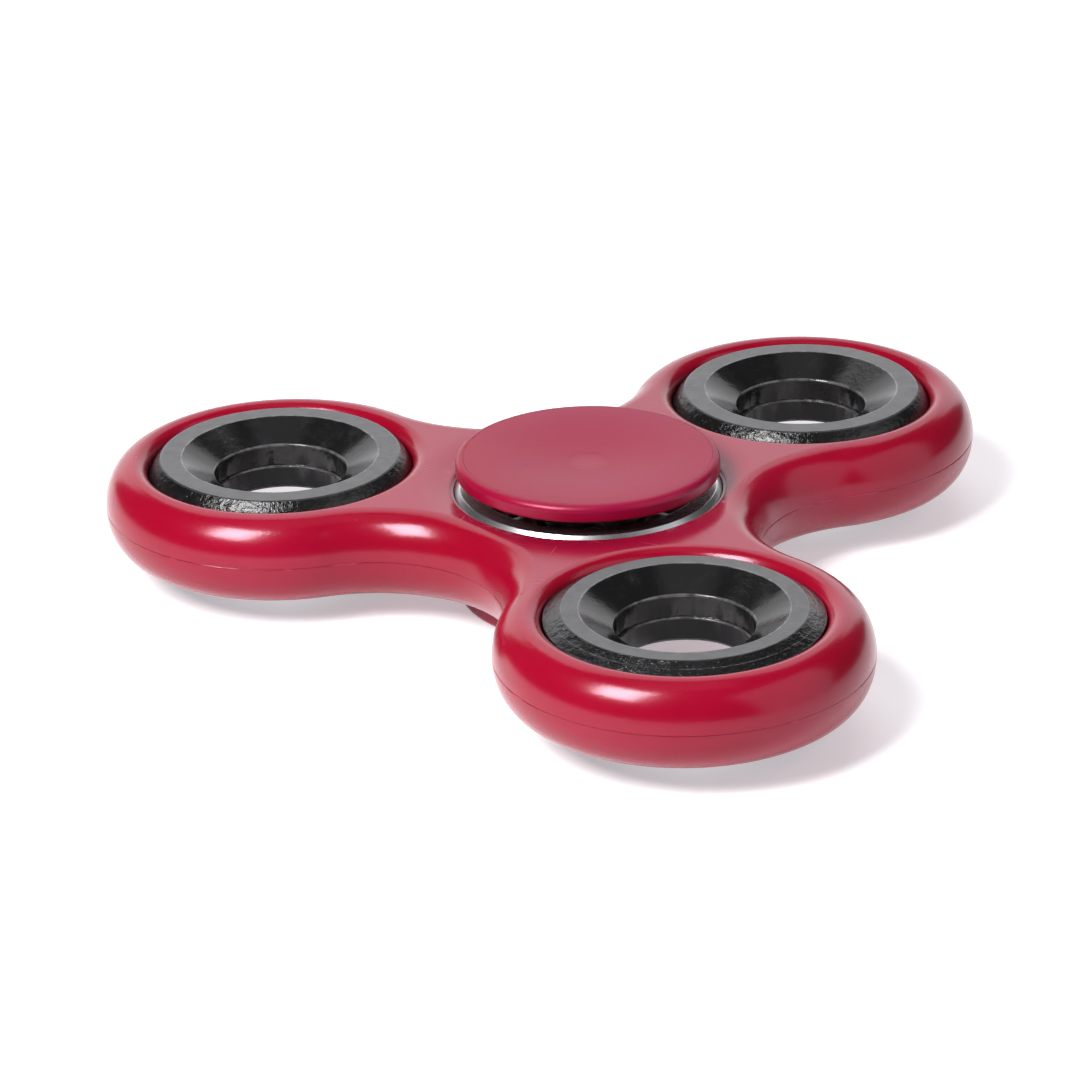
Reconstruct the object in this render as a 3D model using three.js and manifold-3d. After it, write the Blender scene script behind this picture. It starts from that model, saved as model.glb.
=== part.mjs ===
// A three-lobed fidget spinner, in millimetres, +Z up.
// The origin is the centre of its ball bearing, on the axis that everything spins about.

import * as THREE from 'three';
import { mergeVertices } from 'three/addons/utils/BufferGeometryUtils.js';
import Module from 'manifold-3d';

const wasm = await Module();
wasm.setup();

// Facets
const ringSides = 36;        // flats around every large round piece
const arcSteps = 3;          // facets across a rounded edge
const lobeSteps = 18;        // facets around the outside of one lobe
const waistSteps = 8;        // facets along the hollow between two lobes

// Ball bearing, of the common 22 x 8 x 7 size
const bearingRadius = 11;
const bearingBoreRadius = 4;
const bearingWidth = 7;
const raceChamfer = 0.3;
const ballCount = 7;
const ballRadius = 1.9845;
const grooveClearance = 0.0755; // between a ball and the section of its track
const landOffset = 1.45;     // from the balls' pitch circle to the land on either race
const firstBallAngle = THREE.MathUtils.degToRad(-104);

// Ribbon cage, pressed from thin strip in two halves that are riveted between the balls
const cageThickness = 0.35;
const cageLandClearance = 0.45; // from the ribbon's edges to the lands
const cageBallClearance = 0.1;
const cageSeamGap = 0.02;    // between the two halves
const pocketSteps = 8;
const rivetRadius = 0.3;
const rivetHeadRadius = 0.5;
const rivetHeadHeight = 0.2;
const rivetClearance = 0.03;
const rivetSides = 8;

// Ring weights, pressed into the lobes
const weightCount = 3;
const weightRadius = 11;
const weightBoreRadius = 5.5;
const weightThickness = 6.5;
const weightProud = 0.2;     // how far a weight stands above the deck
const weightChamfer = 1.22;  // around the outside of each end
const weightFlatWidth = 1.58; // flat ring on each end, between the chamfer and the funnel
const funnelDepth = 1.55;

// Body
const bodyThickness = 7.5;
const lobeDistance = 26.4;   // from the spin axis to the centre of a lobe
const lobeWall = 3.6;        // around a weight's pocket, at the mould line
const waistWall = 3.63;      // outside the bearing seat, where the hollow comes closest
const sideRound = 2.8;       // how far the rounded side reaches in over the deck
const sideBand = 0.5;        // upright band along the mould line
const pocketClearance = 0.05;
const pocketLipRound = 1.25;
const seatClearance = 0.02;
const seatLipRound = 0.6;

// Finger caps, pressed into the bearing's bore from both sides
const capRadius = 10.85;
const capGap = 0.9;          // from the body's deck to the underside of a cap
const capThickness = 1.44;
const capRimRound = 0.5;
const capRimWidth = 0.75;    // flat ring around the dish
const capDishDepth = 0.6;
const dishSteps = 5;
const heelInset = 0.65;      // the shoulder on the inner race stays inside the race's land
const stemClearance = 0.02;
const stemTipGap = 0.15;     // from the mid-plane to the end of each stem
const stemWall = 1.78;
const stemChamfer = 0.3;
const stemCoreDepth = 2.7;
const heelGap = 0.02;

// Worked out from the sizes above
const deckHeight = bodyThickness / 2;
const bearingFace = bearingWidth / 2;
const ballPitchRadius = (bearingRadius + bearingBoreRadius) / 2;
const outerLandRadius = ballPitchRadius + landOffset;
const innerLandRadius = ballPitchRadius - landOffset;
const grooveRadius = ballRadius + grooveClearance;
const cageHalfWidth = landOffset - cageLandClearance;
const seatRadius = bearingRadius + seatClearance;
const pocketRadius = weightRadius + pocketClearance;
const lobeRadius = pocketRadius + lobeWall;
const waistDistance = seatRadius + waistWall;
const weightTop = deckHeight + weightProud;
const weightBottom = weightTop - weightThickness;
const capUnderside = deckHeight + capGap;
const capTop = capUnderside + capThickness;
const lobeTurn = (2 * Math.PI) / weightCount;
const firstLobeAngle = -Math.PI / 2;

const redPlastic = { color: 0xb01a33, roughness: 0.35, metalness: 0 };
const capPlastic = { color: 0xb4203a, roughness: 0.5, metalness: 0 };
const blackMetal = { color: 0x1b1c1e, roughness: 0.45, metalness: 0.6 };
const brightSteel = { color: 0xc9ccd0, roughness: 0.2, metalness: 1 };
const dullSteel = { color: 0x9a9c9f, roughness: 0.4, metalness: 1 };

// Turns a profile of [radius, height] points about the Z axis.
// A profile that starts off the axis closes on itself.
function turned(profile, sides = ringSides) {
  const points = profile.map(([radius, height]) => new THREE.Vector2(radius, height));
  if (profile[0][0] > 0) {
    points.push(points[0].clone());
  }
  const geometry = new THREE.LatheGeometry(points, sides);
  geometry.rotateX(Math.PI / 2);
  return geometry;
}

// Points of an arc from one angle to another, ends included, about a centre.
function arc(centreX, centreY, radius, from, to, steps) {
  const points = [];
  for (let step = 0; step <= steps; step += 1) {
    const angle = from + ((to - from) * step) / steps;
    points.push([centreX + radius * Math.cos(angle), centreY + radius * Math.sin(angle)]);
  }
  return points;
}

function toSolid(geometry) {
  const bare = geometry.clone();
  bare.deleteAttribute('normal');
  bare.deleteAttribute('uv');
  const merged = mergeVertices(bare, 1e-5);
  return new wasm.Manifold(new wasm.Mesh({
    numProp: 3,
    vertProperties: new Float32Array(merged.attributes.position.array),
    triVerts: new Uint32Array(merged.index.array),
  }));
}

function toGeometry(solid) {
  const mesh = solid.getMesh();
  const geometry = new THREE.BufferGeometry();
  geometry.setAttribute('position', new THREE.BufferAttribute(mesh.vertProperties, 3));
  geometry.setIndex(new THREE.BufferAttribute(mesh.triVerts, 1));
  geometry.computeVertexNormals();
  return geometry;
}

function named(name, geometry, finish) {
  const mesh = new THREE.Mesh(geometry, new THREE.MeshStandardMaterial(finish));
  mesh.name = name;
  return mesh;
}

function lobeCentre(index) {
  const angle = firstLobeAngle + index * lobeTurn;
  return new THREE.Vector3(lobeDistance * Math.cos(angle), lobeDistance * Math.sin(angle), 0);
}

// The outline of the body at its mould line: a convex arc around each lobe and a hollow arc
// between each two lobes, tangent where they meet.
function bodyOutline() {
  const halfTurn = lobeTurn / 2;
  const reach = 2 * lobeDistance * Math.cos(halfTurn);
  const waistRadius = (lobeDistance ** 2 - lobeRadius ** 2 + waistDistance ** 2 - waistDistance * reach)
    / (2 * (lobeRadius - waistDistance) + reach);
  const hollowDistance = waistDistance + waistRadius;
  const outline = [];
  for (let index = 0; index < weightCount; index += 1) {
    const middle = firstLobeAngle + index * lobeTurn;
    const lobe = lobeCentre(index);
    const hollowX = hollowDistance * Math.cos(middle + halfTurn);
    const hollowY = hollowDistance * Math.sin(middle + halfTurn);
    const join = Math.atan2(hollowY - lobe.y, hollowX - lobe.x);
    const lobeHalf = Math.atan2(Math.sin(join - middle), Math.cos(join - middle));
    const hollowHalf = lobeHalf - halfTurn;
    const facing = middle + halfTurn + Math.PI;
    const around = arc(lobe.x, lobe.y, lobeRadius, middle - lobeHalf, middle + lobeHalf, lobeSteps);
    const across = arc(hollowX, hollowY, waistRadius,
      facing + hollowHalf, facing - hollowHalf, waistSteps);
    outline.push(...around, ...across.slice(1, -1));
  }
  return outline.map(([x, y]) => new THREE.Vector2(x, y));
}

// Cutter for a straight hole through the body with a rounded lip at each deck.
function lippedHole(radius, lipRound) {
  const above = deckHeight + 1;
  const lipCentre = deckHeight - lipRound;
  const upper = arc(radius + lipRound, lipCentre, lipRound, Math.PI, Math.PI / 2, arcSteps);
  const lower = upper.map(([x, z]) => [x, -z]).reverse();
  const rim = radius + lipRound;
  return toSolid(turned([[0, -above], [rim, -above], ...lower, ...upper, [rim, above], [0, above]]));
}

function bodyGeometry() {
  const shell = new THREE.ExtrudeGeometry(new THREE.Shape(bodyOutline()), {
    depth: sideBand,
    bevelThickness: deckHeight - sideBand / 2,
    bevelSize: sideRound,
    bevelOffset: -sideRound,
    bevelSegments: arcSteps + 1,
  });
  shell.translate(0, 0, -sideBand / 2);
  let solid = toSolid(shell);
  solid = solid.subtract(lippedHole(seatRadius, seatLipRound));
  for (let index = 0; index < weightCount; index += 1) {
    const hole = lippedHole(pocketRadius, pocketLipRound);
    solid = solid.subtract(hole.translate(lobeCentre(index).toArray()));
  }
  return toGeometry(solid);
}

function weightGeometry() {
  const shoulder = weightRadius - weightChamfer;
  const flatInner = shoulder - weightFlatWidth;
  return turned([
    [weightBoreRadius, weightBottom + funnelDepth],
    [flatInner, weightBottom],
    [shoulder, weightBottom],
    [weightRadius, weightBottom + weightChamfer],
    [weightRadius, weightTop - weightChamfer],
    [shoulder, weightTop],
    [flatInner, weightTop],
    [weightBoreRadius, weightTop - funnelDepth],
  ]);
}

// The half-height of the track where it opens onto a land of the given radius.
function trackHalfHeight(landRadius) {
  const rise = Math.abs(landRadius - ballPitchRadius);
  return Math.sqrt(grooveRadius ** 2 - rise ** 2);
}

function outerRaceGeometry() {
  const half = trackHalfHeight(outerLandRadius);
  const edge = Math.atan2(half, outerLandRadius - ballPitchRadius);
  const corner = bearingRadius - raceChamfer;
  return turned([
    [outerLandRadius, -bearingFace],
    [corner, -bearingFace],
    [bearingRadius, -bearingFace + raceChamfer],
    [bearingRadius, bearingFace - raceChamfer],
    [corner, bearingFace],
    [outerLandRadius, bearingFace],
    ...arc(ballPitchRadius, 0, grooveRadius, edge, -edge, arcSteps + 1),
  ]);
}

function innerRaceGeometry() {
  const half = trackHalfHeight(innerLandRadius);
  const edge = Math.atan2(half, innerLandRadius - ballPitchRadius);
  const corner = bearingBoreRadius + raceChamfer;
  return turned([
    [corner, -bearingFace],
    [innerLandRadius, -bearingFace],
    ...arc(ballPitchRadius, 0, grooveRadius, 2 * Math.PI - edge, edge, arcSteps + 1),
    [innerLandRadius, bearingFace],
    [corner, bearingFace],
    [bearingBoreRadius, bearingFace - raceChamfer],
    [bearingBoreRadius, -bearingFace + raceChamfer],
  ]);
}

function ballAngle(index) {
  return firstBallAngle + (index * 2 * Math.PI) / ballCount;
}

function ballCentre(index) {
  const angle = ballAngle(index);
  return new THREE.Vector3(ballPitchRadius * Math.cos(angle), ballPitchRadius * Math.sin(angle), 0);
}

function rivetPlace(index) {
  const angle = ballAngle(index + 0.5);
  return new THREE.Vector3(ballPitchRadius * Math.cos(angle), ballPitchRadius * Math.sin(angle), 0);
}

// Section of half the cage over one ball, along the pitch circle: pairs of points on its
// under side and its upper side, from one rivet towards the next.
function ribbonSection() {
  const inside = ballRadius + cageBallClearance;
  const outside = inside + cageThickness;
  const halfPitch = (Math.PI * ballPitchRadius) / ballCount;
  const lift = Math.asin(cageThickness / outside);
  const pairs = [{ under: [-halfPitch, 0], upper: [-halfPitch, cageThickness] }];
  for (let step = 0; step <= pocketSteps; step += 1) {
    const share = step / pocketSteps;
    const underAngle = Math.PI * (1 - share);
    const upperAngle = Math.PI - lift - (Math.PI - 2 * lift) * share;
    pairs.push({
      under: [inside * Math.cos(underAngle), inside * Math.sin(underAngle)],
      upper: [outside * Math.cos(upperAngle), outside * Math.sin(upperAngle)],
    });
  }
  return pairs;
}

function cageHalfGeometry() {
  const section = ribbonSection();
  const positions = [];
  const indices = [];
  for (let ball = 0; ball < ballCount; ball += 1) {
    for (const { under, upper } of section) {
      for (const [radius, [along, height]] of [
        [ballPitchRadius - cageHalfWidth, under],
        [ballPitchRadius + cageHalfWidth, under],
        [ballPitchRadius + cageHalfWidth, upper],
        [ballPitchRadius - cageHalfWidth, upper],
      ]) {
        const angle = ballAngle(ball) + along / ballPitchRadius;
        positions.push(radius * Math.cos(angle), radius * Math.sin(angle), height + cageSeamGap / 2);
      }
    }
  }
  const stations = positions.length / 12;
  for (let station = 0; station < stations; station += 1) {
    for (let side = 0; side < 4; side += 1) {
      const here = station * 4 + side;
      const beside = station * 4 + ((side + 1) % 4);
      const next = ((station + 1) % stations) * 4;
      indices.push(here, next + side, beside);
      indices.push(beside, next + side, next + ((side + 1) % 4));
    }
  }
  const ribbon = new THREE.BufferGeometry();
  ribbon.setAttribute('position', new THREE.Float32BufferAttribute(positions, 3));
  ribbon.setIndex(indices);
  let solid = toSolid(ribbon);
  for (let index = 0; index < ballCount; index += 1) {
    const hole = new THREE.CylinderGeometry(rivetRadius + rivetClearance, rivetRadius + rivetClearance,
      4 * cageThickness, rivetSides);
    hole.rotateX(Math.PI / 2);
    solid = solid.subtract(toSolid(hole).translate(rivetPlace(index).toArray()));
  }
  return toGeometry(solid);
}

function rivetGeometry() {
  const grip = cageThickness + cageSeamGap;
  const tip = grip + rivetHeadHeight;
  return turned([
    [0, -tip],
    [rivetRadius, -tip],
    [rivetHeadRadius, -grip],
    [rivetRadius, -grip],
    [rivetRadius, grip],
    [rivetHeadRadius, grip],
    [rivetRadius, tip],
    [0, tip],
  ], rivetSides);
}

function capGeometry() {
  const dishRadius = capRadius - capRimRound - capRimWidth;
  const dish = [];
  for (let step = 0; step <= dishSteps; step += 1) {
    const share = step / dishSteps;
    dish.push([dishRadius * (1 - share), capTop - capDishDepth * Math.sin((share * Math.PI) / 2) ** 2]);
  }
  const stemRadius = bearingBoreRadius - stemClearance;
  const coreRadius = stemRadius - stemWall;
  const heel = bearingFace + heelGap;
  const heelRadius = innerLandRadius - heelInset;
  const bend = capRadius - capRimRound;
  const lowerBend = capUnderside + capRimRound;
  const upperBend = capTop - capRimRound;
  return turned([
    [0, stemTipGap + stemCoreDepth],
    [coreRadius, stemTipGap + stemCoreDepth],
    [coreRadius, stemTipGap],
    [stemRadius - stemChamfer, stemTipGap],
    [stemRadius, stemTipGap + stemChamfer],
    [stemRadius, heel],
    [heelRadius, heel],
    [heelRadius, capUnderside],
    ...arc(bend, lowerBend, capRimRound, -Math.PI / 2, 0, arcSteps),
    ...arc(bend, upperBend, capRimRound, 0, Math.PI / 2, arcSteps),
    ...dish,
  ]);
}

// Spinning part: the moulded body with its weights and the bearing's outer race
const rotor = new THREE.Group();
rotor.add(named('body', bodyGeometry(), redPlastic));
rotor.add(named('outer_race', outerRaceGeometry(), brightSteel));
for (let index = 0; index < weightCount; index += 1) {
  const weight = named(`weight_${index + 1}`, weightGeometry(), blackMetal);
  weight.position.copy(lobeCentre(index));
  rotor.add(weight);
}

// Held part: the inner race between the two finger caps
const hub = new THREE.Group();
hub.add(named('inner_race', innerRaceGeometry(), brightSteel));
hub.add(named('top_cap', capGeometry(), capPlastic));
hub.add(named('bottom_cap', capGeometry().rotateX(Math.PI), capPlastic));

// Rolling part: the balls in their riveted cage
const rolling = new THREE.Group();
const upperCage = cageHalfGeometry();
const lowerCage = upperCage.clone();
lowerCage.rotateX(Math.PI);
lowerCage.rotateZ(2 * firstBallAngle);
rolling.add(named('cage_upper', upperCage, dullSteel));
rolling.add(named('cage_lower', lowerCage, dullSteel));
for (let index = 0; index < ballCount; index += 1) {
  const ball = named(`ball_${index + 1}`, new THREE.SphereGeometry(ballRadius, 12, 8), brightSteel);
  ball.position.copy(ballCentre(index));
  rolling.add(ball);
  const rivet = named(`cage_rivet_${index + 1}`, rivetGeometry(), dullSteel);
  rivet.position.copy(rivetPlace(index));
  rolling.add(rivet);
}

const group = new THREE.Group();
group.add(hub, rolling, rotor);

export default group;
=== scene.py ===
import bpy
import math
from mathutils import Matrix, Vector, noise
from mathutils.geometry import delaunay_2d_cdt


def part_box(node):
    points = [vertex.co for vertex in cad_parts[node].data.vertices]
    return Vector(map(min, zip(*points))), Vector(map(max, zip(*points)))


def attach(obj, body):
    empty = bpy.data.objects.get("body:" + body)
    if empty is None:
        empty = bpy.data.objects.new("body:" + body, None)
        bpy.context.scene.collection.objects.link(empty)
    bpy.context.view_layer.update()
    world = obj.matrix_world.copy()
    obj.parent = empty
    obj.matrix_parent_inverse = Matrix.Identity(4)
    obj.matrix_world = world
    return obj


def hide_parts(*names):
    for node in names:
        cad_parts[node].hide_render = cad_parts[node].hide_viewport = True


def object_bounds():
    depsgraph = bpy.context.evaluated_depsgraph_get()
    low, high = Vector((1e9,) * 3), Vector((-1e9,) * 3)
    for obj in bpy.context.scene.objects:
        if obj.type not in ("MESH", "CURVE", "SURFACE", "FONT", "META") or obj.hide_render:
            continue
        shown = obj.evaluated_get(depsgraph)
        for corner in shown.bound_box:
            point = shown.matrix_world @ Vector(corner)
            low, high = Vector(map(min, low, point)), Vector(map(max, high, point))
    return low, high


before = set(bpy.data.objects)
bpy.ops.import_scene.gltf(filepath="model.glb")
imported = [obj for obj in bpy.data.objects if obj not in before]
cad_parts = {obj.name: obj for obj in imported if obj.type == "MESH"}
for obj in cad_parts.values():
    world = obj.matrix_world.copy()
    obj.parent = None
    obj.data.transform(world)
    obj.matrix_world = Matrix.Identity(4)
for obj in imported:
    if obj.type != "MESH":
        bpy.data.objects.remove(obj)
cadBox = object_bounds()
mm = 0.001  # lengths are in metres
fullTurn = 2 * math.pi
print("frame loaded:", len(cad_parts), "solids")


def boxCentre(node):
    low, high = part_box(node)
    return (low + high) / 2


def halfWidth(node):
    low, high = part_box(node)
    return (high.x - low.x) / 2


lobeCentres = [boxCentre("weight_%d" % number).to_2d() for number in (1, 2, 3)]
lobeReach = lobeCentres[0].length
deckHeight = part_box("body")[1].z
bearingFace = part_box("outer_race")[1].z
bearingRadius = halfWidth("outer_race")
ballNames = sorted(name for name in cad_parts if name.startswith("ball_"))
rivetNames = sorted(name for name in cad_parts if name.startswith("cage_rivet_"))
tableHeight = cadBox[0].z


class Wire:  # a node socket that can stand in a sum
    def __init__(self, finish, socket):
        self.finish = finish
        self.socket = socket

    def maths(self, operation, *values):
        inputs = dict(enumerate(values))
        return self.finish.node("ShaderNodeMath", {"operation": operation}, inputs)

    def __add__(self, other):
        return self.maths("ADD", self, other)

    def __sub__(self, other):
        return self.maths("SUBTRACT", self, other)

    def __mul__(self, other):
        return self.maths("MULTIPLY", self, other)

    def __rsub__(self, other):
        return self.maths("SUBTRACT", other, self)

    __radd__ = __add__
    __rmul__ = __mul__

    def root(self):
        return self.maths("SQRT", self)

    def atMost(self, other):
        return self.maths("MINIMUM", self, other)

    def atLeast(self, other):
        return self.maths("MAXIMUM", self, other)

    def rise(self, start, end):  # 0 before start, 1 after end, smooth between
        settings = {"interpolation_type": "SMOOTHSTEP"}
        inputs = {"Value": self, "From Min": start, "From Max": end}
        return self.finish.node("ShaderNodeMapRange", settings, inputs)


class Finish:  # one material, and the nodes that make it
    def __init__(self, name):
        self.material = bpy.data.materials.new(name)
        self.material.use_nodes = True
        self.tree = self.material.node_tree
        self.tree.nodes.clear()
        surface = self.node("ShaderNodeBsdfPrincipled")
        self.shader = surface.socket.node
        self.node("ShaderNodeOutputMaterial", None, {"Surface": surface})

    def node(self, kind, settings=None, inputs=None, output=0):
        made = self.tree.nodes.new(kind)
        for key, value in (settings or {}).items():
            setattr(made, key, value)
        for key, value in (inputs or {}).items():
            self.feed(made.inputs[key], value)
        return Wire(self, made.outputs[output]) if made.outputs else None

    def feed(self, socket, value):
        if isinstance(value, Wire):
            self.tree.links.new(value.socket, socket)
        else:
            socket.default_value = value

    def set(self, **values):  # socket names with their spaces left out
        for socket in self.shader.inputs:
            key = socket.name.replace(" ", "")
            if key in values:
                self.feed(socket, values.pop(key))
        assert not values, values
        return self.material

    def place(self):  # position on the piece, in millimetres
        here = self.node("ShaderNodeTexCoord", output="Object")
        return self.node("ShaderNodeVectorMath", {"operation": "SCALE"}, {0: here, "Scale": 1000})

    def parts(self, vector):
        split = self.node("ShaderNodeSeparateXYZ", None, {0: vector}).socket.node
        return [Wire(self, socket) for socket in split.outputs]

    def vector(self, x, y, z):
        return self.node("ShaderNodeCombineXYZ", None, {0: x, 1: y, 2: z})

    def stretch(self, vector, scale, turn=0):
        inputs = {"Vector": vector, "Scale": scale, "Rotation": (0, 0, turn)}
        return self.node("ShaderNodeMapping", None, inputs)

    def cloud(self, vector, scale, detail=3, roughness=0.5):
        inputs = {"Vector": vector, "Scale": scale, "Detail": detail, "Roughness": roughness}
        return self.node("ShaderNodeTexNoise", None, inputs)

    def cells(self, vector, scale):
        return self.node("ShaderNodeTexVoronoi", None, {"Vector": vector, "Scale": scale})

    def blend(self, share, first, second):
        inputs = {0: share, 6: first, 7: second}  # the colour sockets of the node
        return self.node("ShaderNodeMix", {"data_type": "RGBA"}, inputs, output=2)

    def bump(self, height, strength, distance):
        inputs = {"Height": height, "Strength": strength, "Distance": distance}
        return self.node("ShaderNodeBump", None, inputs)

    def mark(self, name):  # a value painted on the mesh's points
        return self.node("ShaderNodeAttribute", {"attribute_name": name}, output="Fac")

    def scratches(self, vector, scale, turn):  # long thin hairlines in loose patches, 0 to 1
        turned = self.stretch(vector, (1, 1, 1), turn)
        drawn = self.stretch(turned, (1, 0.035, 0.3))
        lines = self.cloud(drawn, scale, 2, 0.4).rise(0.66, 0.72)
        return lines * self.cloud(turned, 0.17, 2).rise(0.5, 0.62)


bodyPlastic = {
    "colour": (0.225, 0.0012, 0.0155, 1),
    "deepColour": (0.205, 0.0008, 0.0115, 1),
    # paler, more violet tint for the level decks: painted sheen
    "rubbedColour": (0.218, 0.0032, 0.022, 1),
    "sheenTint": (1, 0.80, 0.94, 1),
    "scuffColour": (0.34, 0.05, 0.09, 1),
    "lineColour": (0.10, 0.001, 0.008, 1),
    "roughness": 0.20,
    "bend": 1.42,
    "grainDepth": 0.019 * mm,
    "bumpStrength": 0.4,
    "lineShare": 0.2,           # how strongly the painted shade along the mould line darkens it
    "flashShare": 0.6,
    "hairShare": 0.2,
    "hairDepth": 0.25,
    "speckShare": 0.4,
    "speckDepth": 0.6,
}


def redBodyFinish():
    finish = Finish("redBodyPlastic")
    here = finish.place()
    grain = finish.cloud(here, 3.6, 3, 0.6)
    sway = finish.cloud(here, 0.09, 3)
    hair = finish.scratches(here, 3.4, 0.55).atLeast(finish.scratches(here, 3.0, -0.8))
    hair = hair.atLeast(finish.scratches(here, 2.6, 2.1))
    specks = finish.cells(here, 0.8).rise(0.06, 0.035) * finish.cloud(here, 0.3, 1).rise(0.56, 0.6)
    # painted shade: a dark line in the crease of the mould line
    line = finish.mark("mouldLineShade")
    # painted glint: paler dashes where the mould line stands out most
    flash = finish.mark("flash")
    deck = finish.mark("deck")
    colour = finish.blend(sway.rise(0.35, 0.7), bodyPlastic["deepColour"], bodyPlastic["colour"])
    # painted sheen: the level decks are tinted paler and more violet, standing in for the bright backdrop's
    # reflection
    colour = finish.blend(deck, colour, bodyPlastic["rubbedColour"])
    scuffs = (hair * deck * bodyPlastic["hairShare"]).atLeast(specks * bodyPlastic["speckShare"])
    colour = finish.blend(scuffs, colour, bodyPlastic["scuffColour"])
    # painted shade along the mould line's crease
    colour = finish.blend(line * bodyPlastic["lineShare"], colour, bodyPlastic["lineColour"])
    # painted glint on the mould line's ridge, in the scuff colour
    colour = finish.blend(flash * bodyPlastic["flashShare"], colour, bodyPlastic["scuffColour"])
    rough = bodyPlastic["roughness"] + (grain - 0.5) * 0.08 + (sway - 0.5) * 0.06 + hair * deck * 0.12
    fine = finish.cloud(here, 8, 2, 0.6)
    relief = (grain * 0.7 + fine * 0.35) * (1 - deck * 0.5)  # the deck is rubbed smoother
    relief = relief - hair * deck * bodyPlastic["hairDepth"] + specks * bodyPlastic["speckDepth"]
    normal = finish.bump(relief, bodyPlastic["bumpStrength"], bodyPlastic["grainDepth"])
    return finish.set(BaseColor=colour, Roughness=rough, IOR=bodyPlastic["bend"], Normal=normal,
                      SpecularTint=bodyPlastic["sheenTint"])


capPlastic = {
    "colour": (0.200, 0.0010, 0.017, 1),
    "rubbedColour": (0.205, 0.003, 0.030, 1),
    "roughness": 0.46,
    "sideRoughness": 0.3,
    "bend": 1.42,
    "sheenTint": (1, 0.44, 0.60, 1),
    "bumpStrength": 0.2,
    "grainDepth": 0.006 * mm,
}


def redCapFinish():
    finish = Finish("redCapPlastic")
    here = finish.place()
    x, y, z = finish.parts(here)
    radius = (x * x + y * y).root()
    grain = finish.cloud(here, 3.5, 2, 0.5)
    rubbed = finish.cloud(finish.stretch(here, (0.5, 1.6, 1), 0.3), 0.14, 3)
    turned = finish.cloud(finish.vector(radius * 5, 0, 0), 1, 2)  # faint rings left by the tool
    middle = 1 - radius.rise(0.7, 1.9)
    # the top dish only is tinted paler and more violet, in patches and towards the middle: partly rubbed
    # wear, partly painted sheen
    worn = (rubbed.rise(0.3, 0.75) + middle * 0.5).atMost(1) * z.rise(4.9, 5.4)
    colour = finish.blend(worn, capPlastic["colour"], capPlastic["rubbedColour"])
    side = radius.rise(10.5, 10.75)  # the upright side stays glossier than the worn dish
    rough = capPlastic["roughness"] + side * (capPlastic["sideRoughness"] - capPlastic["roughness"])
    rough = rough + (grain - 0.5) * 0.05 + (rubbed - 0.5) * 0.08 - middle * 0.05
    relief = grain * 0.5 + turned * 0.5
    normal = finish.bump(relief, capPlastic["bumpStrength"], capPlastic["grainDepth"])
    return finish.set(BaseColor=colour, Roughness=rough, IOR=capPlastic["bend"], Normal=normal,
                      SpecularTint=capPlastic["sheenTint"])


weightCoat = {
    "colour": (0.0045, 0.0045, 0.0048, 1),
    "dustColour": (0.010, 0.0104, 0.0112, 1),
    "flatColour": (0.045, 0.045, 0.048, 1),
    "bareColour": (0.30, 0.30, 0.31, 1),
    "roughness": 0.16,
    "flatRoughness": 0.30,
    "castRoughness": 0.15,
    "bend": 1.43,
    "bumpStrength": 0.8,
    "castDepth": 0.12 * mm,
}


def blackWeightFinish():
    finish = Finish("blackCoatedMetal")
    here = finish.place()
    cast = finish.mark("cast")          # 1 where the skin is as cast
    faced = finish.mark("faced")        # 1 on the machined flat
    worn = finish.mark("worn")          # 1 on the edges that rub
    pebble = finish.cloud(here, 2.0, 4, 0.62)
    lumps = finish.cloud(here, 0.7, 3)
    patches = finish.cloud(here, 1.1, 3).rise(0.38, 0.62)
    nicks = finish.cells(here, 1.3).rise(0.10, 0.05) * finish.cloud(here, 0.5, 1).rise(0.5, 0.58)
    bare = (worn * (0.3 + 0.7 * patches)).atLeast(nicks * cast * 0.5).atMost(1)
    dull = finish.cloud(here, 0.45, 4, 0.7).rise(0.5, 0.75)
    colour = finish.blend(dull, weightCoat["colour"], weightCoat["dustColour"])
    colour = finish.blend(faced * (0.7 + 0.3 * patches), colour, weightCoat["flatColour"])
    colour = finish.blend(bare, colour, weightCoat["bareColour"])
    rough = weightCoat["roughness"] + cast * (weightCoat["castRoughness"] - weightCoat["roughness"])
    rough = rough + faced * (weightCoat["flatRoughness"] - weightCoat["roughness"])
    rough = rough + (lumps - 0.5) * 0.10 + dull * 0.05
    relief = pebble * (cast + 0.03) + lumps * (cast * 0.8 + 0.06)
    normal = finish.bump(relief, weightCoat["bumpStrength"], weightCoat["castDepth"])
    return finish.set(BaseColor=colour, Roughness=rough, Metallic=bare * 0.8, IOR=weightCoat["bend"],
                      Normal=normal)


steel = {
    "raceColour": (0.62, 0.62, 0.64, 1),
    "raceTint": (0.50, 0.50, 0.52, 1),
    "ballColour": (0.72, 0.72, 0.74, 1),
    "cageColour": (0.42, 0.42, 0.43, 1),
    "cageTint": (0.30, 0.29, 0.28, 1),
    "raceRoughness": 0.28,
    "ballRoughness": 0.1,
    "cageRoughness": 0.32,
    "bumpStrength": 0.3,
    "ringDepth": 0.004 * mm,
}


def steelFinish(name, colour, tint, roughness, ringShare):
    finish = Finish(name)
    here = finish.place()
    x, y, z = finish.parts(here)
    radius = (x * x + y * y).root()
    rings = finish.cloud(finish.vector(radius * 14, z * 14, 0), 1, 3, 0.7)  # grinding marks
    stain = finish.cloud(here, 0.5, 3)
    shade = finish.blend(stain.rise(0.35, 0.7), colour, tint)
    rough = roughness + (rings - 0.5) * 0.10 + (stain - 0.5) * 0.08
    normal = finish.bump(rings * ringShare + stain * 0.3, steel["bumpStrength"], steel["ringDepth"])
    return finish.set(BaseColor=shade, Metallic=1.0, Roughness=rough, Normal=normal)


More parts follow.
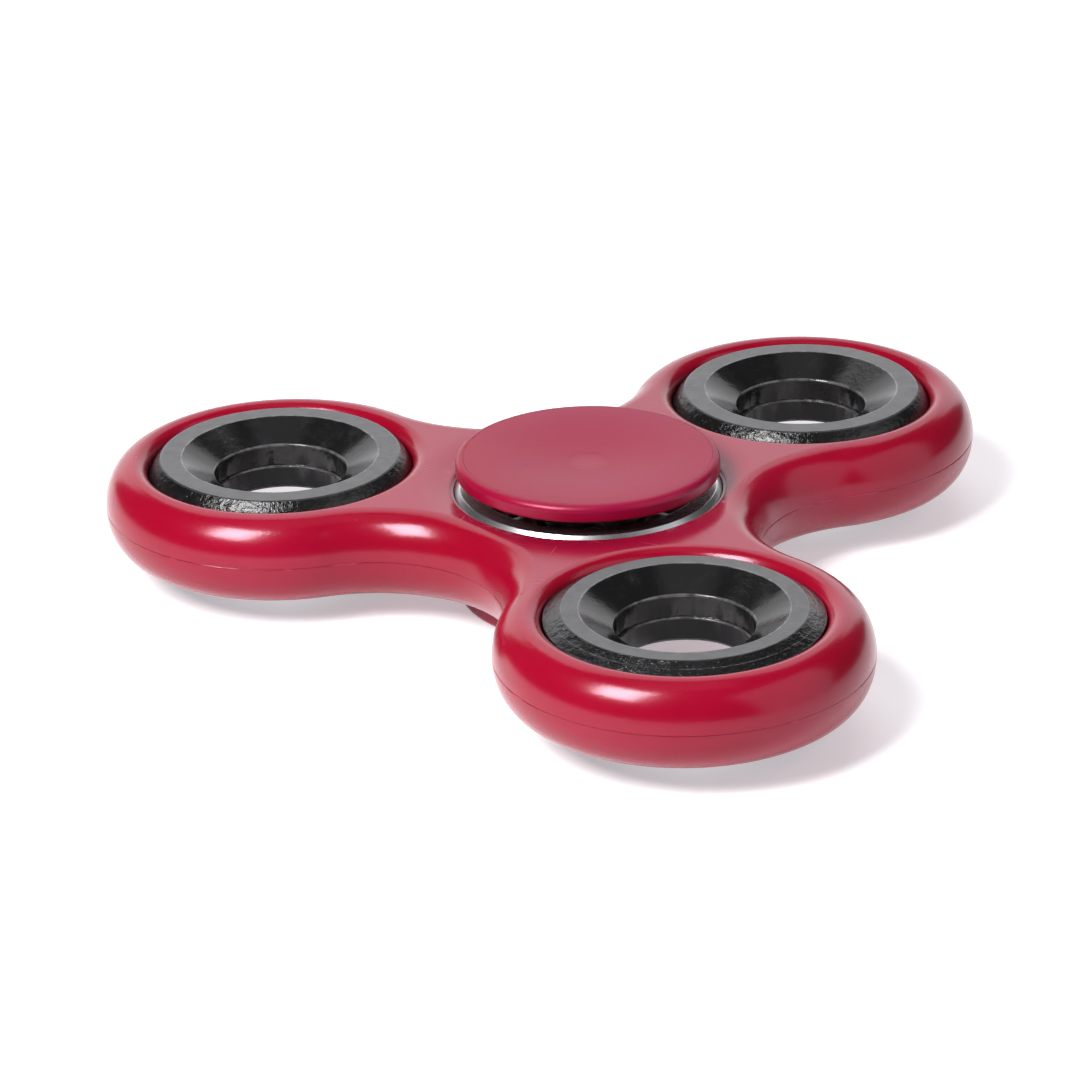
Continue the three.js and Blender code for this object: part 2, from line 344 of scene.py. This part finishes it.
redBody = redBodyFinish()
redCap = redCapFinish()
blackWeight = blackWeightFinish()
raceSteel = steelFinish("groundRaceSteel", steel["raceColour"], steel["raceTint"],
                        steel["raceRoughness"], 1.0)
ballSteel = steelFinish("polishedBallSteel", steel["ballColour"], steel["raceColour"],
                        steel["ballRoughness"], 0.1)
cageSteel = steelFinish("pressedCageSteel", steel["cageColour"], steel["cageTint"],
                        steel["cageRoughness"], 0.4)
print("finishes made")


def addPiece(name, material, body, stands, points, faces, normals=None, marks=None):
    mesh = bpy.data.meshes.new(name)
    mesh.from_pydata(points, [], faces)
    mesh.validate()
    mesh.shade_smooth()
    if normals:
        mesh.normals_split_custom_set_from_vertices(normals)
    for mark, values in (marks or {}).items():
        layer = mesh.attributes.new(mark, "FLOAT", "POINT")
        layer.data.foreach_set("value", values)
    mesh.materials.append(material)
    piece = bpy.data.objects.new(name, mesh)
    bpy.context.scene.collection.objects.link(piece)
    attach(piece, body)
    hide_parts(*stands)
    return piece


def rightOf(way):  # the direction to the right of a way, which points out of the material
    return Vector((way.y, -way.x))


def rounded(corners, closed=True, steps=5, guard=0.08 * mm):
    # corners are (radius, height, fillet, mark); gives (radius, height, normal, mark) points.
    # The material lies to the left of the line from each corner to the next, and guard is the room
    # for a flat strip beside each fillet.
    places = [Vector(corner[:2]) for corner in corners]
    last = len(corners) - 1
    points = []
    for index, corner in enumerate(corners):
        here = places[index]
        fillet, mark = corner[2:]
        before = here - places[index - 1]
        after = places[0 if index == last else index + 1] - here
        if not closed and index in (0, last):
            way = (before if index else after).normalized()
            points.append((here, rightOf(way), mark))
            continue
        wayIn, wayOut = before.normalized(), after.normalized()
        turn = math.atan2(wayIn.cross(wayOut), wayIn.dot(wayOut))
        normalIn = rightOf(wayIn)
        side = 1 if turn > 0 else -1
        length = fillet * math.tan(abs(turn) / 2)
        start = here - wayIn * length
        centre = start - side * fillet * normalIn
        room = min(guard, (before.length - length) * 0.4, (after.length - length) * 0.4)
        points.append((start - wayIn * room, normalIn, 0))
        for step in range(steps + 1):
            normal = normalIn.copy()
            normal.rotate(Matrix.Rotation(turn * step / steps, 2))
            points.append((centre + side * fillet * normal, normal, mark))
        points.append((here + wayOut * (length + room), rightOf(wayOut), 0))
    return points


def turnedPiece(name, material, body, stands, profile, sides, centre=(0, 0),
                closed=True, wobble=None, marks=None):  # a profile swept round an upright axis
    points, normals, rings = [], [], []
    for index, (place, normal, mark) in enumerate(profile):
        single = place.x < 1e-7  # a point on the axis
        ring = []
        for side in range(1 if single else sides):
            angle = fullTurn * side / sides
            out = Vector((math.cos(angle), math.sin(angle)))
            shift = wobble(angle, place) if wobble else 0
            radius = place.x + normal.x * shift
            height = place.y + normal.y * shift
            ring.append(len(points))
            points.append((centre[0] + radius * out.x, centre[1] + radius * out.y, height))
            normals.append((normal.x * out.x, normal.x * out.y, normal.y))
        rings.append(ring)
    faces = []
    spans = len(rings) if closed else len(rings) - 1
    for index in range(spans):
        low, high = rings[index], rings[(index + 1) % len(rings)]
        for side in range(sides):
            beside = (side + 1) % sides
            if len(low) == 1:
                faces.append((low[0], high[beside], high[side]))
            elif len(high) == 1:
                faces.append((low[side], low[beside], high[0]))
            else:
                faces.append((low[side], low[beside], high[beside], high[side]))
    painted = {}
    for mark, value in (marks or {}).items():
        painted[mark] = [value(profile[index]) for index, ring in enumerate(rings) for _ in ring]
    return addPiece(name, material, body, stands, points, faces,
                    None if wobble else normals, painted)


bodyShape = {
    "sideRound": 2.8 * mm,      # how far the rounded side reaches in over the deck
    "sideBand": 0.24 * mm,      # upright band along the mould line
    "waistWall": 3.63 * mm,     # outside the bearing seat, where the hollow comes closest
    "seatGap": 0.02 * mm,
    "seatLip": 0.6 * mm,
    "seatDip": 0.25 * mm,       # how far the deck sinks towards the bearing seat
    "seatDipReach": 2.9 * mm,   # over this distance outside the seat's lip
    "pocketGap": 0.05 * mm,
    "pocketLip": 1.25 * mm,
    "flashHeight": 0.04 * mm,   # how far the mould line stands out
    "flashWidth": 0.11 * mm,
    "lobeInset": 0.25 * mm,     # the outline turns about a point this far inside the pocket's centre
    "lobeSteps": 132,
    "waistSteps": 46,
    "holeSteps": 144,
    "sideRings": 14,
    "lipRings": 8,
    "deckPitch": 1.1 * mm,      # spacing of the points that fill the deck
    "deckMargin": 0.2 * mm,
    "flashOver": 0.62,          # where the mould line stands out more than this it gets a painted glint, and below it painted shade
}
arcReach = lobeReach - bodyShape["lobeInset"]
lobeRadius = -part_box("body")[0].y - arcReach
seatRadius = bearingRadius + bodyShape["seatGap"]
pocketRadius = halfWidth("weight_1") + bodyShape["pocketGap"]
waistReach = seatRadius + bodyShape["waistWall"]
halfSector = math.pi / len(lobeCentres)
hollowSpan = 2 * arcReach * math.cos(halfSector)
hollowRadius = ((arcReach ** 2 - lobeRadius ** 2 + waistReach ** 2 - waistReach * hollowSpan)
                / (2 * (lobeRadius - waistReach) + hollowSpan))
hollowReach = waistReach + hollowRadius
holes = [(Vector((0, 0)), seatRadius, bodyShape["seatLip"])]
holes += [(centre, pocketRadius, bodyShape["pocketLip"]) for centre in lobeCentres]


def turnTo(angle):
    return Vector((math.cos(angle), math.sin(angle)))


def outlineArcs():
    arcs = []
    for pocket in lobeCentres:
        middle = math.atan2(pocket.y, pocket.x)
        centre = turnTo(middle) * arcReach
        hollow = turnTo(middle + halfSector) * hollowReach
        join = math.atan2(hollow.y - centre.y, hollow.x - centre.x)
        lobeHalf = math.atan2(math.sin(join - middle), math.cos(join - middle))
        hollowHalf = lobeHalf - halfSector
        facing = middle + halfSector + math.pi
        arcs.append((centre, lobeRadius, 1, middle - lobeHalf, middle + lobeHalf, bodyShape["lobeSteps"]))
        arcs.append((hollow, hollowRadius, -1, facing + hollowHalf, facing - hollowHalf,
                     bodyShape["waistSteps"]))
    return arcs


bodyArcs = outlineArcs()


def outlineRing(inset):  # points of the outline set in by a distance, with their outward directions
    ring = []
    for centre, radius, side, start, end, steps in bodyArcs:
        for step in range(steps):
            out = turnTo(start + (end - start) * step / steps)
            ring.append((centre + out * (radius - side * inset), out * side))
    return ring


def depthInside(place):  # distance in from the outline, and the direction outwards
    nearest, direction = 1, Vector((0, 0))
    for centre, radius, side, start, end, steps in bodyArcs:
        offset = place - centre
        middle, half = (start + end) / 2, abs(end - start) / 2
        away = math.atan2(offset.y, offset.x) - middle
        away = abs(math.atan2(math.sin(away), math.cos(away)))
        depth = side * (radius - offset.length)
        if away <= half + 1e-9 and depth < nearest:
            nearest, direction = depth, offset.normalized() * side
    return nearest, direction


def sideSurface(depth):  # height lost to the rounded side, and its slope
    reach = bodyShape["sideRound"]
    rise = deckHeight - bodyShape["sideBand"] / 2
    if depth >= reach:
        return 0, 0
    across = 1 - depth / reach
    up = math.sqrt(max(1 - across ** 2, 1e-12))
    return rise * (1 - up), rise / reach * across / up


def lipSurface(place):  # height lost to the rounded lips of the holes, and its downhill direction
    for centre, radius, lip in holes:
        out = (place - centre).length - radius
        if out < lip:
            across = lip - max(out, 0)
            up = math.sqrt(max(lip ** 2 - across ** 2, 1e-16))
            return lip - up, (centre - place).normalized() * (across / up)
    return 0, Vector((0, 0))


def seatDip(radius):  # height lost where the deck sinks towards the bearing, and its slope
    reach = bodyShape["seatDipReach"]
    share = 1 - (radius - seatRadius - bodyShape["seatLip"]) / reach
    if share <= 0:
        return 0, 0
    if share >= 1:
        return bodyShape["seatDip"], 0
    return bodyShape["seatDip"] * share ** 2, bodyShape["seatDip"] * 2 * share / reach


def deckNormal(slopes):
    return Vector((slopes.x, slopes.y, 1)).normalized()  # slopes point downhill


def buildBody():
    flat, heights, normals, chains = [], [], [], []

    def put(place, height, normal):
        lost, steep = seatDip(place.length)
        down = -place.normalized() * steep * normal.z if steep else Vector((0, 0))
        flat.append(place)
        heights.append(height - lost)
        normals.append(Vector((normal.x + down.x, normal.y + down.y, normal.z)).normalized())
        return len(flat) - 1

    rings = bodyShape["sideRings"]
    rise = deckHeight - bodyShape["sideBand"] / 2
    for ring in range(rings + 1):
        angle = math.pi / 2 * ring / rings
        inset = bodyShape["sideRound"] * (1 - math.cos(angle))
        made = []
        for place, out in outlineRing(inset):
            lost, down = lipSurface(place)
            if ring and lost:
                continue
            height = deckHeight - rise * (1 - math.sin(angle)) - lost
            steep = rise / bodyShape["sideRound"] * math.cos(angle) / max(math.sin(angle), 1e-6)
            made.append(put(place, height, deckNormal(out * steep + down)))
        if ring == 0:
            chains.append(made)
    for centre, radius, lip in holes:
        for ring in range(bodyShape["lipRings"] + 1):
            angle = math.pi / 2 * ring / bodyShape["lipRings"]
            reach = radius + lip * (1 - math.cos(angle))
            made = []
            for step in range(bodyShape["holeSteps"]):
                out = turnTo(fullTurn * step / bodyShape["holeSteps"])
                place = centre + out * reach
                depth, outward = depthInside(place)
                lost, steep = sideSurface(depth)
                slope = math.cos(angle) / max(math.sin(angle), 1e-6)
                height = deckHeight - lip * (1 - math.sin(angle)) - lost
                made.append(put(place, height, deckNormal(outward * steep - out * slope)))
            if ring == 0:
                chains.append(made)
    for place in deckFill():
        put(place, deckHeight, Vector((0, 0, 1)))
    edges = [(chain[index - 1], chain[index]) for chain in chains for index in range(len(chain))]
    inMillimetres = [place / mm for place in flat]
    found = delaunay_2d_cdt(inMillimetres, edges, [], 1, 1e-4)
    sources = [min(group) for group in found[3]]
    landed = {source: index for index, group in enumerate(found[3]) for source in group}
    faces = []
    for face in found[2]:
        corners = [flat[sources[index]] for index in face]
        middle = sum(corners, Vector((0, 0))) / len(corners)
        if any((middle - centre).length < radius * 0.9999 for centre, radius, lip in holes):
            continue
        area = (corners[1] - corners[0]).cross(corners[2] - corners[0])
        faces.append(tuple(face) if area > 0 else tuple(reversed(face)))
    points = [(*flat[source], heights[source]) for source in sources]
    upward = [normals[source] for source in sources]
    return points, upward, faces, [[landed[source] for source in chain] for chain in chains]


def deckFill():  # a loose grid of points over the flat of the deck
    pitch, margin = bodyShape["deckPitch"], bodyShape["deckMargin"]
    places = []
    span = int((lobeReach + lobeRadius) / pitch) + 1
    for row in range(-span, span + 1):
        for column in range(-span, span + 1):
            place = Vector((column + 0.5 * (row % 2), row * 0.87)) * pitch
            if place.length > lobeReach:
                continue
            clear = all((place - centre).length > radius + lip + margin for centre, radius, lip in holes)
            if clear and depthInside(place)[0] > bodyShape["sideRound"] + margin:
                places.append(place)
    return places


def flashAt(place):  # the mould line stands out unevenly
    coarse = noise.noise(Vector((place.x, place.y, 0)) / mm * 0.16)
    fine = noise.noise(Vector((place.x, place.y, 5)) / mm * 1.3)
    return max(0, 0.35 + 0.9 * coarse + 0.45 * fine)


def makeBody():
    top, upward, topFaces, chains = buildBody()
    count = len(top)
    points = list(top) + [(x, y, -z) for x, y, z in top]
    normals = list(upward) + [Vector((n.x, n.y, -n.z)) for n in upward]
    faces = list(topFaces) + [tuple(count + index for index in reversed(face)) for face in topFaces]
    lines = [0.0] * len(points)
    flashGlints = [0.0] * len(points)
    decks = [1.0 if abs(normal.z) > 0.985 else 0.0 for normal in normals]  # the nearly level part
    outline = chains[0]
    ring = outlineRing(0)
    half = bodyShape["flashWidth"] / 2
    upper = [(half * 1.6, 0, 0), (half * 1.2, -0.3, 0.5), (half, 0, 0.9), (half * 0.5, 0.8, 0.8)]
    levels = upper + [(0, 1, 0)] + [(-height, share, -tilt) for height, share, tilt in reversed(upper)]
    above = outline
    for height, share, tilt in levels:
        row = []
        for place, out in ring:
            amount = flashAt(place)
            proud = share * amount if share > 0 else share
            shift = out * (proud * bodyShape["flashHeight"])
            row.append(len(points))
            points.append((place.x + shift.x, place.y + shift.y, height))
            normals.append(Vector((out.x, out.y, tilt * (0.4 + amount))).normalized())
            # painted shade along the mould line's crease, where it stands out less
            lines.append(1.0 if abs(height) < half * 1.3 and amount < bodyShape["flashOver"] else 0.0)
            # painted glint where the mould line stands out most
            flashGlints.append(1.0 if share > 0.5 and amount > bodyShape["flashOver"] else 0.0)
            decks.append(0.0)
        faces += quadStrip(above, row)
        above = row
    faces += quadStrip(above, [count + index for index in outline])
    for chain in chains[1:]:
        faces += quadStrip([count + index for index in chain], chain)
    return addPiece("spinnerBody", redBody, "rotor", ["body"], points, faces, normals,
                    {"mouldLineShade": lines, "flash": flashGlints, "deck": decks})


def quadStrip(upper, lower):  # closed band between two rings of the same length
    count = len(upper)
    return [(upper[i], lower[i], lower[(i + 1) % count], upper[(i + 1) % count]) for i in range(count)]


makeBody()
print("body made")


weightShape = {
    "boreRadius": 5.5 * mm,
    "flatRadius": 8.2 * mm,     # inner edge of the flat
    "funnelDepth": 1.55 * mm,
    "bevels": {1: (1.4, 0.85, 0.0), 2: (1.05, 1.45, 0.12), 3: (1.05, 1.45, 0.12)},  # across, down, bow
    "bevelRound": 1.4 * mm,
    "lowerFunnel": 0.75,        # depth of the funnel underneath, as a share of the upper one
    "edgeRound": 0.12 * mm,
    "boreRound": 0.16 * mm,
    "ledge": 0.22 * mm,         # step where the two halves of the casting met
    "ledgePlace": 0.47,         # share of the height
    "sides": 168,
}


def makeWeight(number):
    node = "weight_%d" % number
    low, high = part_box(node)
    outer = halfWidth(node)
    bore = weightShape["boreRadius"]
    across, down, bow = [size * mm for size in weightShape["bevels"][number]]
    shoulder = outer - across
    flat = weightShape["flatRadius"]
    bend = (outer - across / 2 + bow * 0.7, down / 2 - bow * 0.7)  # the bevel swells a little
    depth = weightShape["funnelDepth"]
    soft, boreRound, bevelRound = [weightShape[key] for key in ("edgeRound", "boreRound", "bevelRound")]
    ledge = low.z + (high.z - low.z) * weightShape["ledgePlace"]
    inner = bore - weightShape["ledge"]
    corners = [
        (shoulder, low.z, soft * 2, 0), (bend[0], low.z + bend[1], bevelRound, 0),
        (outer, low.z + down, soft, 0.1), (outer, high.z - down, soft, 0.1),
        (bend[0], high.z - bend[1], bevelRound, 0), (shoulder, high.z, soft * 2, 0.05),
        (flat, high.z, soft * 0.5, 0.5), (bore, high.z - depth, boreRound, 0.35),
        (bore, ledge + 0.05 * mm, 0.03 * mm, 0), (inner, ledge, 0.04 * mm, 0.3),
        (inner, low.z + depth * weightShape["lowerFunnel"], boreRound, 0.2), (flat, low.z, soft * 0.5, 0.3),
    ]
    seed = 7.3 * number

    def wobble(angle, place):  # unevenness of the casting, most of all along the ledge
        spot = Vector((math.cos(angle), math.sin(angle), seed)) * 3.1
        ragged = noise.noise(spot * 2.7) * 0.10 + noise.noise(spot * 7) * 0.05
        nearLedge = max(0, 1 - abs(place.y - ledge) / (0.3 * mm)) if place.x < bore * 1.05 else 0
        uneven = noise.noise(spot + Vector((0, 0, place.y / mm * 0.8))) * 0.012
        return (uneven + ragged * nearLedge) * mm

    def castAt(point):  # the bevels and the outside are as cast
        return 1.0 if point[0].x > shoulder + 0.05 * mm else 0.12

    def facedAt(point):
        return 1.0 if abs(point[1].y) > 0.95 else 0.0

    centre = boxCentre(node)
    return turnedPiece("ringWeight%d" % number, blackWeight, "rotor", [node],
                       rounded(corners), weightShape["sides"], (centre.x, centre.y), wobble=wobble,
                       marks={"worn": lambda point: point[2], "cast": castAt, "faced": facedAt})


for number in (1, 2, 3):
    makeWeight(number)
print("weights made")


bearingShape = {
    "boreRadius": 4 * mm,
    "landOffset": 1.45 * mm,
    "trackRadius": 2.06 * mm,
    "boreChamfer": 0.3 * mm,
    "chamfer": 0.42 * mm,
    "edgeRound": 0.09 * mm,
    "shieldGroove": 0.22 * mm,
    "trackSteps": 14,
    "cageThickness": 0.35 * mm,
    "cageHalfWidth": 1.0 * mm,
    "cageClearance": 0.1 * mm,
    "rivetRadius": 0.5 * mm,
    "rivetHead": 0.2 * mm,
    "pressedEdge": 0.06 * mm,
    "sides": 144,
    "ballSteps": 28,
    "ballSides": 48,
    "rivetSides": 24,
}
pitchRadius = (bearingRadius + bearingShape["boreRadius"]) / 2
ballRadius = (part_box("ball_1")[1].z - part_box("ball_1")[0].z) / 2


def trackCorners(side):  # points of the ball track from its lower edge to its upper edge
    radius = bearingShape["trackRadius"]
    half = math.acos(bearingShape["landOffset"] / radius)
    steps = bearingShape["trackSteps"]
    return [(pitchRadius + side * radius * math.cos(half * (2 * step / steps - 1)),
             radius * math.sin(half * (2 * step / steps - 1)), 0.04 * mm, 0) for step in range(steps + 1)]


def makeRaces():
    face, soft = bearingFace, bearingShape["edgeRound"]
    outerLand = pitchRadius + bearingShape["landOffset"]
    innerLand = pitchRadius - bearingShape["landOffset"]
    groove = bearingShape["shieldGroove"]
    step = face - 2 * groove  # height of the little shelf where a shield would sit
    edge = bearingShape["chamfer"]
    outerCorners = [
        (bearingRadius - edge, -face, soft, 0), (bearingRadius, -face + edge, soft, 0),
        (bearingRadius, face - edge, soft, 0), (bearingRadius - edge, face, soft, 0),
        (outerLand + groove, face, soft, 0), (outerLand + groove * 1.6, step, soft, 0),
        (outerLand, step - groove * 0.5, soft, 0),
        *reversed(trackCorners(1)),
        (outerLand, -step + groove * 0.5, soft, 0), (outerLand + groove * 1.6, -step, soft, 0),
        (outerLand + groove, -face, soft, 0),
    ]
    bore, chamfer = bearingShape["boreRadius"], bearingShape["boreChamfer"]
    innerCorners = [
        (bore + chamfer, -face, soft, 0), (innerLand - groove, -face, soft, 0),
        (innerLand, -face + 1.5 * groove, soft, 0),
        *trackCorners(-1),
        (innerLand, face - 1.5 * groove, soft, 0), (innerLand - groove, face, soft, 0),
        (bore + chamfer, face, soft, 0), (bore, face - chamfer, soft, 0), (bore, -face + chamfer, soft, 0),
    ]
    sides = bearingShape["sides"]
    turnedPiece("outerRace", raceSteel, "rotor", ["outer_race"],
                rounded(outerCorners, steps=3), sides)
    turnedPiece("innerRace", raceSteel, "hub", ["inner_race"],
                rounded(innerCorners, steps=3), sides)


def makeBall(node):
    centre = boxCentre(node)
    steps = bearingShape["ballSteps"]
    profile = []
    for step in range(steps + 1):
        angle = math.pi * (step / steps - 0.5)
        normal = Vector((max(math.cos(angle), 0), math.sin(angle)))
        if step in (0, steps):
            normal.x = 0
        profile.append((normal * ballRadius, normal, 0))
    turnedPiece("steelBall" + node[5:], ballSteel, "rolling_" + node, [node], profile,
                bearingShape["ballSides"], (centre.x, centre.y), closed=False)


def ribbonSection(steps=16):  # the cage over one ball: (along, under height, upper height) pairs
    inside = ballRadius + bearingShape["cageClearance"]
    thick = bearingShape["cageThickness"]
    outside = inside + thick
    half = math.pi * pitchRadius / len(ballNames)
    lift = math.asin(thick / outside)
    pairs = [((-half, 0), (-half, thick)), ((-half * 0.8, 0), (-half * 0.8, thick))]
    for step in range(steps + 1):
        under = math.pi * (1 - step / steps)
        upper = math.pi - lift - (math.pi - 2 * lift) * step / steps
        pairs.append(((inside * math.cos(under), inside * math.sin(under)),
                      (outside * math.cos(upper), outside * math.sin(upper))))
    pairs.append(((half * 0.8, 0), (half * 0.8, thick)))
    return pairs


def makeCageHalf(name, node, flip):
    points, faces = [], []
    section = ribbonSection()
    for ball in ballNames:
        centre = boxCentre(ball)
        middle = math.atan2(centre.y, centre.x)
        for under, upper in section:
            corners = [(-1, under), (1, under), (1, upper), (-1, upper)]
            for side, (along, height) in corners:
                out = turnTo(middle + along / pitchRadius)
                place = out * (pitchRadius + side * bearingShape["cageHalfWidth"])
                points.append((place.x, place.y, flip * (height + 0.01 * mm)))
    stations = len(points) // 4
    for station in range(stations):
        near, far = station * 4, (station + 1) % stations * 4
        for side in range(4):
            beside = (side + 1) % 4
            face = (near + side, far + side, far + beside, near + beside)
            faces.append(face if flip > 0 else tuple(reversed(face)))
    piece = addPiece(name, cageSteel, "cage", [node], points, faces)
    edge = piece.modifiers.new("pressedEdge", "BEVEL")
    edge.width = bearingShape["pressedEdge"]
    edge.segments = 3
    edge.limit_method = "ANGLE"
    edge.angle_limit = math.radians(50)
    edge.harden_normals = True


def makeRivet(node):
    centre = boxCentre(node)
    head, radius = bearingShape["rivetHead"], bearingShape["rivetRadius"]
    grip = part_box(node)[1].z - head
    waist = radius * 0.6
    corners = [
        (0, -grip - head, 0, 0), (radius * 0.6, -grip - head, 0.1 * mm, 0), (radius, -grip, 0.05 * mm, 0),
        (waist, -grip, 0.02 * mm, 0), (waist, grip, 0.02 * mm, 0), (radius, grip, 0.05 * mm, 0),
        (radius * 0.6, grip + head, 0.1 * mm, 0), (0, grip + head, 0, 0),
    ]
    turnedPiece("cageRivet" + node[11:], cageSteel, "cage", [node],
                rounded(corners, closed=False, steps=3, guard=0.02 * mm), bearingShape["rivetSides"],
                (centre.x, centre.y), closed=False)


makeRaces()
for ballName in ballNames:
    makeBall(ballName)
makeCageHalf("upperCage", "cage_upper", 1)
makeCageHalf("lowerCage", "cage_lower", -1)
for rivetName in rivetNames:
    makeRivet(rivetName)
print("bearing made")


capShape = {
    "rimRound": 0.6 * mm,
    "lowerRound": 0.25 * mm,
    "rimFlat": 0.1 * mm,
    "dishDepth": 0.6 * mm,
    "dishSteps": 30,
    "spotRadius": 1.9 * mm,     # shallow mark left at the middle of the dish
    "spotDepth": 0.035 * mm,
    "thickness": 1.44 * mm,
    "heelInset": 0.65 * mm,
    "stemGap": 0.02 * mm,
    "stemWall": 1.78 * mm,
    "stemTip": 0.15 * mm,
    "stemChamfer": 0.3 * mm,
    "stemEdge": 0.08 * mm,
    "coreDepth": 2.7 * mm,
    "sides": 168,
}


def dishHeight(radius, dishRadius):
    share = min(radius / dishRadius, 1)
    spot = max(0, 1 - (radius / capShape["spotRadius"]) ** 4)
    return -capShape["dishDepth"] * math.cos(share * math.pi / 2) ** 2 - capShape["spotDepth"] * spot


def capProfile(top, radius):
    underside = top - capShape["thickness"]
    heel = bearingFace + 0.02 * mm
    heelRadius = pitchRadius - bearingShape["landOffset"] - capShape["heelInset"]
    stem = bearingShape["boreRadius"] - capShape["stemGap"]
    core = stem - capShape["stemWall"]
    tip = capShape["stemTip"]
    dishRadius = radius - capShape["rimRound"] - capShape["rimFlat"]
    small, tipChamfer = capShape["stemEdge"], capShape["stemChamfer"]
    corners = [
        (0, tip + capShape["coreDepth"], 0, 0), (core, tip + capShape["coreDepth"], small, 0),
        (core, tip, small, 0), (stem - tipChamfer, tip, small, 0), (stem, tip + tipChamfer, small, 0),
        (stem, heel, small, 0), (heelRadius, heel, small, 0), (heelRadius, underside, 0.2 * mm, 0),
        (radius, underside, capShape["lowerRound"], 0), (radius, top, capShape["rimRound"], 0),
        (dishRadius, top, 0.02 * mm, 0),
    ]
    profile = rounded([*corners, (dishRadius * 0.5, top, 0, 0)], closed=False)[:-1]
    steps = capShape["dishSteps"]
    nudge = 0.01 * mm
    for step in range(1, steps + 1):
        here = dishRadius * (1 - step / steps)
        climb = dishHeight(here + nudge, dishRadius) - dishHeight(max(here - nudge, 0), dishRadius)
        normal = Vector((-climb / (2 * nudge), 1)).normalized() if step < steps else Vector((0, 1))
        profile.append((Vector((here, top + dishHeight(here, dishRadius))), normal, 0))
    return profile


def makeCap(name, node, flip):
    low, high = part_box(node)
    top = high.z if flip > 0 else -low.z
    profile = capProfile(top, halfWidth(node))
    if flip < 0:
        profile = [(Vector((place.x, -place.y)), Vector((normal.x, -normal.y)), mark)
                   for place, normal, mark in reversed(profile)]
    return turnedPiece(name, redCap, "hub", [node], profile, capShape["sides"], closed=False)


makeCap("topFingerCap", "top_cap", 1)
makeCap("bottomFingerCap", "bottom_cap", -1)
print("caps made")


cameraSetup = {
    "lens": 156.3,
    "sensor": 36,
    "azimuth": -15.31,
    "elevation": 23.99,
    "distance": 0.3829,
    "aim": (-4.80 * mm, -2.20 * mm, 0),
    "roll": 1.26,
}


def makeCamera():
    data = bpy.data.cameras.new("studioCamera")
    data.lens = cameraSetup["lens"]
    data.sensor_width = cameraSetup["sensor"]
    data.clip_start = 0.02
    data.clip_end = 20
    camera = bpy.data.objects.new("studioCamera", data)
    bpy.context.scene.collection.objects.link(camera)
    around, up = math.radians(cameraSetup["azimuth"]), math.radians(cameraSetup["elevation"])
    back = Vector((math.sin(around) * math.cos(up), -math.cos(around) * math.cos(up), math.sin(up)))
    camera.location = Vector(cameraSetup["aim"]) + back * cameraSetup["distance"]
    facing = (-back).to_track_quat("-Z", "Y").to_matrix().to_4x4()
    roll = Matrix.Rotation(math.radians(-cameraSetup["roll"]), 4, "Z")
    camera.rotation_euler = (facing @ roll).to_euler()
    bpy.context.scene.camera = camera


studio = {  # bearing: degrees right of straight behind the object, seen from the camera
    "keyBox": {"bearing": -136, "height": 47, "distance": 0.32, "size": (0.125, 0.15),
               "glow": 33, "tint": (1, 0.985, 0.99)},
    "backSheet": {"bearing": -2, "height": 16, "distance": 1.1, "size": (1.5, 0.8),
                  "glow": 1.45, "tint": (0.98, 0.98, 1)},
    "backBox": {"bearing": -2, "height": 51, "distance": 1.0, "size": (0.85, 0.5),
                "glow": 1.9, "tint": (0.98, 0.98, 1)},
    "rightSheet": {"bearing": 113, "height": 26, "distance": 1.0, "size": (1.0, 1.0),
                   "glow": 1.15, "tint": (0.98, 0.98, 1)},
    "ceiling": {"bearing": 0, "height": 90, "distance": 1.5, "size": (0.8, 0.8),
                "glow": 0.4, "tint": (0.98, 0.98, 1)},
}


def makeLights():
    for name, setup in studio.items():
        bearing = math.radians(setup["bearing"] - cameraSetup["azimuth"])
        height = math.radians(setup["height"])
        aim = Vector((math.sin(bearing) * math.cos(height), math.cos(bearing) * math.cos(height),
                      math.sin(height)))
        data = bpy.data.lights.new(name, "AREA")
        data.shape = "RECTANGLE"
        data.size, data.size_y = setup["size"]
        data.energy = math.pi * data.size * data.size_y * setup["glow"]
        data.color = setup["tint"]
        light = bpy.data.objects.new(name, data)
        light.location = aim * setup["distance"]
        light.rotation_euler = (-aim).to_track_quat("-Z", "Y").to_euler()
        bpy.context.scene.collection.objects.link(light)


room = {
    "airColour": (0.96, 0.97, 1, 1),
    "airGlow": 0.07,
    "tableColour": (0.74, 0.735, 0.745, 1),
    "tablePale": (0.77, 0.765, 0.775, 1),
    "tableRoughness": 0.6,
    "tableGlowColour": (0.98, 0.955, 1, 1),
    "tableGlow": 0.42,
    "tableReach": 6,
}


def makeWorld():
    world = bpy.data.worlds.new("paleRoom")
    bpy.context.scene.world = world
    world.use_nodes = True
    background = world.node_tree.nodes["Background"]
    background.inputs["Color"].default_value = room["airColour"]
    background.inputs["Strength"].default_value = room["airGlow"]


def makeTable():
    finish = Finish("paleTable")
    here = finish.place()
    tone = finish.cloud(here, 0.01, 2)
    colour = finish.blend(tone, room["tableColour"], room["tablePale"])
    finish.set(BaseColor=colour, Roughness=room["tableRoughness"], EmissionColor=room["tableGlowColour"],
               EmissionStrength=room["tableGlow"])
    reach = room["tableReach"]
    corners = [(-reach, -reach, 0), (reach, -reach, 0), (reach, reach, 0), (-reach, reach, 0)]
    mesh = bpy.data.meshes.new("paleTable")
    mesh.from_pydata(corners, [], [(0, 1, 2, 3)])
    mesh.materials.append(finish.material)
    table = bpy.data.objects.new("paleTable", mesh)
    table.location.z = tableHeight
    bpy.context.scene.collection.objects.link(table)


makeCamera()
makeLights()
makeWorld()
makeTable()
bpy.context.scene.view_settings.view_transform = "Standard"
print("studio made")
